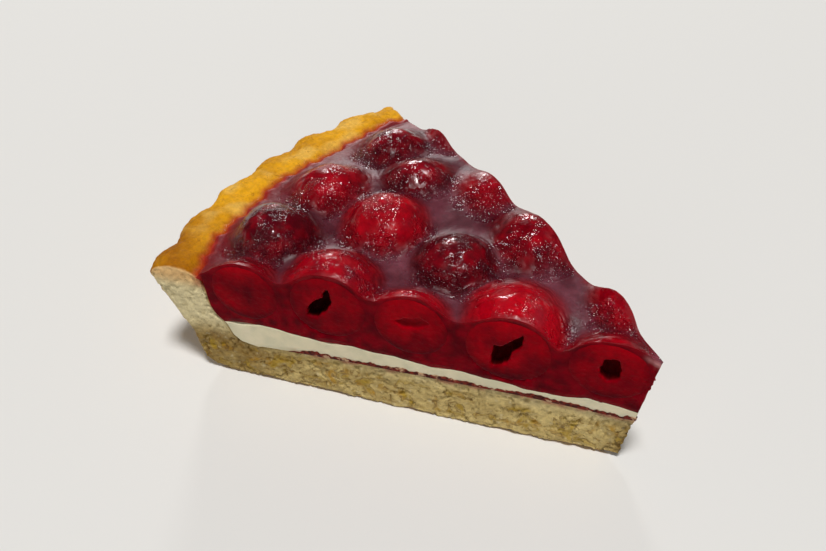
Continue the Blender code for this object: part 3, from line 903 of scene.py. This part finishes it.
def jelly_piece(looks, cut_looks):
    def place(out, across, up):
        rim = film_edge(across * HALF_ANGLE)
        flat = in_slice(out, across, np.full(len(out), 0.036), rim)
        low_flat = in_slice(out, across, np.full(len(out), 0.019), CREAM_TOP[-1][0])
        low = cream_height(low_flat) - 0.15 * MM
        height = low + up * (jelly_top(flat) - low)
        side = up < 0.999
        wall = np.where(side, along_table(WALL_INSIDE, height) + 0.15 * MM, rim)
        sag = 0.03 + 0.05 * noise(in_slice(out, across, height, rim), 3.0 * MM, 41.0)
        inset = MM * sag * smooth(1.0, 0.9, up)
        edge = in_slice(out, across, height, rim, inset, limit=wall)
        for pit in PITS:
            outline = np.array(pit.outline) * MM
            middle = outline.mean(axis=0)
            reach = np.linalg.norm(outline - middle, axis=1).max() + 0.6 * MM
            away = np.linalg.norm(edge - np.array(on_face(pit.side, *middle, 0.0)), axis=1)
            at_face = side * (across * pit.side > 0.999)
            within = smooth(0.92, 0.84, BALLS[pit.cherry - 1].share(edge))
            behind = at_face * smooth(reach + 1.2 * MM, reach, away) * within
            inwards = np.array((-math.sin(HALF_ANGLE), -pit.side * math.cos(HALF_ANGLE)))
            edge[:, :2] += (BEHIND_PIT * behind)[:, None] * inwards
        # No side of the block may stand above the skin
        cover = jelly_top(edge[side]) - 0.10 * MM
        edge[side, 2] = np.minimum(edge[side, 2], cover)
        return edge

    mesh, shares = skin_of_block("jelly_bed", (360, 220, 16), place)
    points = points_of(mesh)
    top = shares[:, 2] > 0.999
    rise = points[:, 2] - jelly_level(points)
    ripples = (noise(points, 5.5 * MM, 43.0) * 0.34 + noise(points, 2.6 * MM, 44.0) * 0.12
               + noise(points, 1.2 * MM, 46.0) * 0.05) * smooth(-2.5 * MM, 3.0 * MM, rise)
    for ball in BALLS:
        ripples = ripples + 0.30 * folds(points, ball)
    on_rim = 0.8 * smooth(0.1075, 0.1100, tart_radius(points))
    shift = normals_of(mesh) * (MM * ripples * top * (1.0 - on_rim))[:, None]
    at_face = np.abs(shares[:, 1]) > 0.999
    shift[at_face, :2] = 0.0
    points = points + shift
    move_points(mesh, points)
    edge = film_edge(bearing(points)) - tart_radius(points)
    paints = glaze_paint(points)
    streaks = 0.5 * MM * noise(points, 2.2 * MM, 47.0)
    low = smooth(2.4 * MM, 0.8 * MM, points[:, 2] - jelly_level(points))
    low = np.maximum(low, smooth(4.5 * MM, 3.0 * MM, edge))
    paints = mix(paints, FILM_PINK, low * smooth(10.0 * MM, 3.0 * MM, edge + 2.0 * streaks))
    paints = mix(paints, FILM_EDGE_COLOUR, smooth(2.6 * MM, 0.2 * MM, edge + streaks))
    deep = mix(JELLY_CUT, JELLY_CUT_DEEP, smooth(-0.4, 0.5, noise(points, 3.0 * MM, 45.0)))
    depth = np.minimum(inside_face(points, NEAR), inside_face(points, FAR))
    depth = depth + 0.7 * MM * noise(points, 2.5 * MM, 48.0)
    at_tip = smooth(6.5 * MM, 2.5 * MM, tart_radius(points) + streaks)
    lip = (1.0 - at_tip) * smooth(1.6 * MM, 0.1 * MM, depth) * smooth(0.0, 4.0 * MM, edge)
    paints = mix(paints, JELLY_CUT, lip * 0.6)
    # The glaze at the tip is painted paler: dried glaze with a painted highlight
    paints = mix(paints, TIP_GLAZE_HIGHLIGHT, 0.7 * at_tip)
    paints = mix(deep, paints, top * 1.0)
    # The glaze flap over the tip's cut side, painted pale: glaze sheet with a painted highlight
    crumpled = 0.8 * MM * noise(points, 0.9 * MM, 49.0)
    flap_highlight = smooth(2.6 * MM, 1.2 * MM, jelly_top(points) - points[:, 2] + crumpled) * at_tip * ~top
    paint(mesh, "paint", mix(paints, TIP_FLAP_HIGHLIGHT, 0.8 * flap_highlight))
    wrinkled = np.where(top, wrinkles_at(points) * (1.0 - 0.8 * lip), 0.15)
    paint(mesh, "wrinkled", wrinkled)
    paint(mesh, "wet", wetness_at(points, wrinkled) * (1.0 - 0.6 * lip))
    mesh.materials.append(looks)
    mesh.materials.append(cut_looks)
    mark_faces(mesh, ~top)
    border = (np.abs(shares[:, 1]) > 0.999) | (shares[:, 0] > 0.999) | (shares[:, 0] < 0.001)
    crease_edges(mesh, top & border)
    return new_piece("jelly_bed", mesh, "jelly")


# ---------------------------------------------------------------- crust

def crust_piece(node):
    mesh = remeshed("crust_shell", node.data.copy(), CRUST_VOXEL, 5)
    points, normals = points_of(mesh), normals_of(mesh)
    radius, turn = tart_radius(points), bearing(points)
    depth = np.minimum(inside_face(points, NEAR), inside_face(points, FAR))
    cut = smooth(0.8 * MM, 0.3 * MM, depth)
    under = smooth(0.6 * MM, 0.2 * MM, points[:, 2])
    baked = (1.0 - cut) * (1.0 - under)

    crumb = (0.26 + 0.24 * noise(points, 3.2 * MM, 51.0) + 0.20 * noise(points, 1.2 * MM, 52.0)
             + 0.08 * noise(points, 0.6 * MM, 53.0))
    holes = smooth(0.35, 0.75, noise(points, 1.3 * MM, 54.0)) * 0.5
    cracks = smooth(0.14, 0.02, np.abs(noise(points, 2.6 * MM, 73.0)))
    cracks = cracks * smooth(-0.2, 0.3, noise(points, 4.0 * MM, 74.0)) * 0.55
    crust = (0.45 * noise(points, 5.5 * MM, 55.0) + 0.24 * noise(points, 1.9 * MM, 56.0)
             + 0.12 * noise(points, 0.9 * MM, 59.0))
    pores = smooth(0.45, 0.75, noise(points, 1.0 * MM, 57.0)) * 0.30
    inner = smooth(0.1070, 0.1090, radius) + smooth(0.0205, 0.0180, points[:, 2])
    inner = np.clip(inner, 0.0, 1.0)
    glazed = smooth(-0.6 * MM, 0.4 * MM, film_edge(turn) - radius)
    inner = inner * (1.0 - glazed)
    move = -cut * (np.maximum(crumb, 0.0) + holes + cracks) + baked * (crust - pores) * inner
    under_film = smooth(0.4 * MM, 1.6 * MM, film_edge(turn) - radius)
    move = move - 0.20 * under_film * baked * smooth(0.0280, 0.0300, points[:, 2])
    points = points + normals * (move * MM)[:, None]
    crumbling = smooth(1.8 * MM, 0.0, points[:, 2]) * smooth(1.6 * MM, 0.2 * MM, depth)
    tip = smooth(22.0 * MM, 4.0 * MM, TIP_X - points[:, 0])
    lift = (0.5 + 0.9 * noise(points, 3.4 * MM, 58.0) + 0.3 * noise(points, 1.1 * MM, 75.0)
            + 1.1 * tip) * MM
    points[:, 2] += crumbling * np.maximum(lift, 0.0)
    move_points(mesh, points)

    tint = 0.35 + 0.9 * noise(points, 9.0 * MM, 61.0) + 0.3 * noise(points, 3.0 * MM, 62.0)
    near_end = smooth(-8.0, -19.0, np.degrees(turn))
    golden = mix(CRUST_GOLD, CRUST_ORANGE, np.clip(tint * 0.6 + 0.75 * near_end, 0.0, 1.0))
    pale = smooth(0.1, 0.6, noise(points, 6.0 * MM, 63.0))
    golden = mix(golden, CRUST_PALE, pale * 0.5 * (1.0 - near_end))
    wall = smooth(0.0325, 0.0270, points[:, 2])
    golden = mix(golden, CRUST_WALL, wall * 0.75)
    golden = mix(golden, CRUST_BROWN, under * 0.5)
    spots = (0.64 + 0.22 * noise(points, 4.0 * MM, 64.0) + 0.26 * noise(points, 1.4 * MM, 65.0)
             + 0.20 * noise(points, 0.6 * MM, 71.0))
    in_base = smooth(0.0200, 0.0100, points[:, 2] - 2.0 * MM * noise(points, 5.0 * MM, 76.0))
    # Painted shade: the cut base is darker towards its two ends and along its cracks; it is also paler in
    # the middle
    ends = np.maximum(smooth(0.0860, 0.1030, radius), smooth(0.0140, 0.0040, radius))
    middle = smooth(0.0700, 0.0400, radius) * smooth(0.0100, 0.0200, radius)
    spots = spots + 0.16 - in_base * (0.45 * ends - 0.22 * middle - 0.30 * noise(points, 12.0 * MM, 68.0))
    even = 0.56 + 0.5 * (spots - 0.6)
    spots = spots * in_base + even * (1.0 - in_base)
    crumbs = mix(CRUMB_DARK, CRUMB_PALE, np.clip(spots, 0.0, 1.0))
    crumbs = mix(crumbs, WALL_CUT, (1.0 - in_base) * 0.8)
    # Painted shade darkens the cut base at its ends and in its cracks
    crumbs = mix(crumbs, CRUMB_DARK, in_base * (0.15 + 0.3 * ends + 0.4 * cracks))
    # The rim's cut crumb is paler near the top: partly its own colour, partly a painted highlight
    rim_crumb_and_highlight = smooth(0.0275, 0.0325, points[:, 2])
    crumbs = mix(crumbs, CRUMB_RIM_HIGHLIGHT, rim_crumb_and_highlight * 0.8)
    below_jam = base_height(radius) - points[:, 2]
    soaked = smooth(1.9 * MM, 0.6 * MM, below_jam) * smooth(-1.5 * MM, -0.6 * MM, below_jam)
    soaked = soaked * smooth(JAM_RADIUS + 0.002, JAM_RADIUS - 0.004, radius)
    stain = soaked * smooth(-0.3, 0.3, noise(points, 3.5 * MM, 67.0))
    crumbs = mix(crumbs, JAM_STAIN, stain * 0.8)
    flour = smooth(0.45, 0.75, noise(points, 1.1 * MM, 70.0)) * in_base
    crumbs = mix(crumbs, FLOUR, flour * 0.5)
    paints = mix(golden, crumbs, cut)
    edge = film_edge(turn) - radius
    stained = smooth(-1.6 * MM, 0.8 * MM, edge) * smooth(0.0285, 0.0305, points[:, 2])
    paints = mix(paints, FILM_EDGE_COLOUR, stained * 0.9 * (1.0 - 0.5 * cut))
    paint(mesh, "paint", paints)
    paint(mesh, "cut", cut)
    belt = smooth(0.0125, 0.0095, points[:, 2]) * smooth(0.0010, 0.0030, points[:, 2])
    paint(mesh, "belt", belt * cut)
    paint(mesh, "gloss", stained * (1.0 - cut))
    mesh.materials.append(crust_looks())
    return new_piece("crust_shell", mesh, "crust")


# ---------------------------------------------------------------- room

def area_light(name, place, aim, size, power, tint=(1.0, 1.0, 1.0)):
    data = bpy.data.lights.new(name, "AREA")
    data.shape = "RECTANGLE"
    data.size, data.size_y = size
    data.energy = power
    data.color = tint
    light = bpy.data.objects.new(name, data)
    light.location = place
    towards = Vector(aim) - Vector(place)
    light.rotation_euler = towards.to_track_quat("-Z", "Y").to_euler()
    bpy.context.scene.collection.objects.link(light)


def room():
    bm = bmesh.new()
    bmesh.ops.create_circle(bm, cap_ends=True, segments=96, radius=FLOOR_RADIUS)
    mesh = bpy.data.meshes.new("floor")
    bm.to_mesh(mesh)
    bm.free()
    floor = bpy.data.objects.new("floor", mesh)
    bpy.context.scene.collection.objects.link(floor)
    looks = Looks("floor", Roughness=1.0, Specular_IOR_Level=0.0,
                  Base_Color=(*colour(*FLOOR_COLOUR), 1.0))
    mesh.materials.append(looks.material)
    world = bpy.data.worlds.new("studio")
    bpy.context.scene.world = world
    world.use_nodes = True
    # The camera sees a pale backdrop, and little light comes from it
    background = world.node_tree.nodes["Background"]
    seen = world.node_tree.nodes.new("ShaderNodeLightPath").outputs["Is Camera Ray"]
    strength = world.node_tree.nodes.new("ShaderNodeMapRange")
    strength.inputs["To Min"].default_value = WORLD_STRENGTH
    strength.inputs["To Max"].default_value = BACKDROP_STRENGTH
    world.node_tree.links.new(seen, strength.inputs["Value"])
    world.node_tree.links.new(strength.outputs["Result"], background.inputs["Strength"])
    background.inputs["Color"].default_value = (*colour(*FLOOR_COLOUR), 1.0)
    for light in LIGHTS:
        area_light(*light)


def camera():
    data = bpy.data.cameras.new("camera")
    data.lens = CAMERA_LENS
    data.sensor_width = 36.0
    data.clip_start = 0.01
    eye = bpy.data.objects.new("camera", data)
    back = Vector((math.sin(CAMERA_AZIMUTH) * math.cos(CAMERA_ELEVATION),
                   -math.cos(CAMERA_AZIMUTH) * math.cos(CAMERA_ELEVATION),
                   math.sin(CAMERA_ELEVATION)))
    eye.location = Vector(CAMERA_TARGET) + back * CAMERA_DISTANCE
    eye.rotation_euler = (-back).to_track_quat("-Z", "Y").to_euler()
    bpy.context.scene.collection.objects.link(eye)
    bpy.context.scene.camera = eye


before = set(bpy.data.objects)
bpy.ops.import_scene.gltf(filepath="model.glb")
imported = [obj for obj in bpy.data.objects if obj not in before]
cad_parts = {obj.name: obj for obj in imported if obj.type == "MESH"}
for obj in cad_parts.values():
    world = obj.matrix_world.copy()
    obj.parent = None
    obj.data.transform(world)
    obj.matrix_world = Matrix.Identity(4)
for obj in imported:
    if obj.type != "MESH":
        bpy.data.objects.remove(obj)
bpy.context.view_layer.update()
bpy.context.scene.view_settings.view_transform = "Standard"

fruit = fruit_looks("cherry", 0.12, 0.25, 0.0014)
flesh = flesh_looks("cherry_flesh", 0.32)
crust_piece(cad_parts["crust"])
jam_piece()
cream_piece()
jelly_piece(fruit_looks("jelly", 0.10, 0.15, 0.0014), flesh_looks("jelly_cut", 0.25))
for ball in BALLS:
    cherry_piece(ball, fruit, flesh)
room()
camera()
